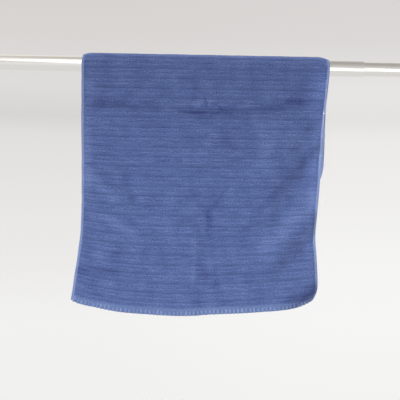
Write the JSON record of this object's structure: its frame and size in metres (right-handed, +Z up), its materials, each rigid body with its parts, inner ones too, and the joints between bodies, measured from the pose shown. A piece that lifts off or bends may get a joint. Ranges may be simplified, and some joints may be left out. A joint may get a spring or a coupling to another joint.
{
  "type": "bath towel on a telescopic rod",
  "caption": "Ribbed terry bath towel draped over a level telescopic rod, its front layer hanging lower than its back layer, with hemmed sides and soft uneven folds.",
  "frame": {"origin": "the middle of the rod's left end face, as seen by a viewer in front of the towel", "axes": "+X along the rod to its right end, -Y towards the viewer and the front layer, +Z up"},
  "size_m": [0.93, 0.0554, 0.5239],
  "materials": {
    "terry": "soft looped terry, matt",
    "rod": "bright, slightly satin"
  },
  "bodies": {
    "root": {"towel": "terry", "wide_tube": "rod", "narrow_tube": "rod"}
  },
  "joints": []
}
